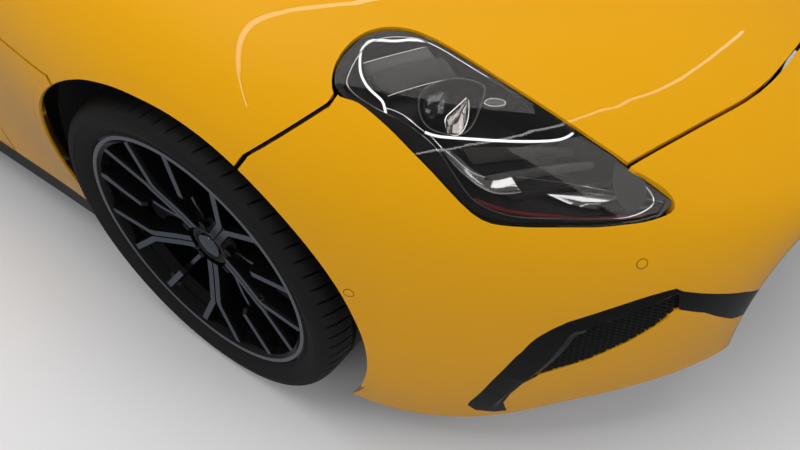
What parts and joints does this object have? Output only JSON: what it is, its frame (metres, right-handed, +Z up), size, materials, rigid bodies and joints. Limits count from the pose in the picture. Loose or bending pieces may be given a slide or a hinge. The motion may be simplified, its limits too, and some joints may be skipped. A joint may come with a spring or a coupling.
{
  "type": "two-door coupe car",
  "caption": "Low two-door coupe with a long clamshell bonnet, raked headlamps, corner intakes, forked-spoke alloy wheels, opening doors, bonnet and boot, and wheels that steer and roll.",
  "frame": {"origin": "on the floor, at the middle of the car's length and width", "axes": "+X is the way the car drives, +Y is its left side, +Z is up"},
  "size_m": [4.9537, 2.112, 1.3535],
  "materials": {
    "body_paint": "gloss",
    "black_gloss": "gloss",
    "black_plastic": "satin",
    "window_glass": "gloss",
    "lamp_unit": "gloss",
    "tail_lens": "gloss",
    "floor_metal": "satin",
    "engine_metal": "satin",
    "arm_metal": "satin",
    "exhaust_steel": "polished",
    "alloy": "polished",
    "tyre_rubber": "matte",
    "cabin_leather": "satin",
    "cabin_trim": "matte"
  },
  "bodies": {
    "bonnet": {"bonnet": "body_paint"},
    "boot_lid": {"boot_lid": "body_paint"},
    "door_right": {"door_right": "body_paint", "door_glass_right": "window_glass", "mirror_right": "body_paint"},
    "door_left": {"door_left": "body_paint", "door_glass_left": "window_glass", "mirror_left": "body_paint"},
    "steering_wheel": {"steering_wheel": "cabin_leather"},
    "knuckle_right": {"knuckle_right": "arm_metal"},
    "knuckle_left": {"knuckle_left": "arm_metal"},
    "wheel_front_right": {"tyre_front_right": "tyre_rubber", "rim_front_right": "alloy"},
    "wheel_front_left": {"tyre_front_left": "tyre_rubber", "rim_front_left": "alloy"},
    "wheel_rear_right": {"tyre_rear_right": "tyre_rubber", "rim_rear_right": "alloy"},
    "wheel_rear_left": {"tyre_rear_left": "tyre_rubber", "rim_rear_left": "alloy"},
    "car": {"front_bumper": "body_paint", "front_grille": "black_gloss", "intake_grilles": "black_gloss", "front_splitter": "black_plastic", "headlamp_right": "lamp_unit", "headlamp_left": "lamp_unit", "wings": "body_paint", "sills": "black_plastic", "body_shell": "body_paint", "cowl": "black_plastic", "windscreen": "window_glass", "rear_window": "window_glass", "quarter_glass": "window_glass", "rear_bumper": "body_paint", "tail_lamps": "tail_lens", "diffuser": "black_plastic", "exhausts": "exhaust_steel", "underbody": "floor_metal", "engine": "engine_metal", "dashboard": "cabin_trim", "centre_console": "cabin_trim", "seat_right": "cabin_leather", "seat_left": "cabin_leather", "rear_bench": "cabin_leather", "front_suspension": "arm_metal", "rear_suspension": "arm_metal"}
  },
  "joints": [
    {"name": "bonnet_hinge", "type": "hinge", "parent": "car", "child": "bonnet", "pos_m": [0.9015, 0, 0.893], "axis": [0, -1, 0], "range_deg": [0, 50]},
    {"name": "boot_hinge", "type": "hinge", "parent": "car", "child": "boot_lid", "pos_m": [-1.4765, 0, 0.945], "axis": [0, 1, 0], "range_deg": [0, 60]},
    {"name": "door_right_hinge", "type": "hinge", "parent": "car", "child": "door_right", "pos_m": [0.8235, -0.933, 0.5], "axis": [0, 0, 1], "range_deg": [0, 65]},
    {"name": "door_left_hinge", "type": "hinge", "parent": "car", "child": "door_left", "pos_m": [0.8235, 0.933, 0.5], "axis": [0, 0, -1], "range_deg": [0, 65]},
    {"name": "steering_left", "type": "hinge", "parent": "car", "child": "knuckle_left", "pos_m": [1.5135, 0.79, 0.333], "axis": [0, 0, 1], "range_deg": [-35, 35]},
    {"name": "steering_right", "type": "hinge", "parent": "car", "child": "knuckle_right", "pos_m": [1.5135, -0.79, 0.333], "axis": [0, 0, 1], "range_deg": [-35.5, 35.5]},
    {"name": "steering_wheel_turn", "type": "hinge", "parent": "car", "child": "steering_wheel", "pos_m": [0.4635, 0.37, 0.89], "axis": [-0.9063, 0, 0.4226], "range_deg": [-456, 456]},
    {"name": "spin_front_right", "type": "hinge", "parent": "knuckle_right", "child": "wheel_front_right", "pos_m": [1.5135, -0.8275, 0.333], "axis": [0, 1, 0], "continuous": true},
    {"name": "spin_rear_right", "type": "hinge", "parent": "car", "child": "wheel_rear_right", "pos_m": [-1.4155, -0.8125, 0.355], "axis": [0, 1, 0], "continuous": true},
    {"name": "spin_front_left", "type": "hinge", "parent": "knuckle_left", "child": "wheel_front_left", "pos_m": [1.5135, 0.8275, 0.333], "axis": [0, 1, 0], "continuous": true},
    {"name": "spin_rear_left", "type": "hinge", "parent": "car", "child": "wheel_rear_left", "pos_m": [-1.4155, 0.8125, 0.355], "axis": [0, 1, 0], "continuous": true}
  ],
  "couplings": [
    {"joint": "steering_right", "follows": "steering_left", "ratio": 1},
    {"joint": "steering_wheel_turn", "follows": "steering_left", "ratio": 13}
  ]
}
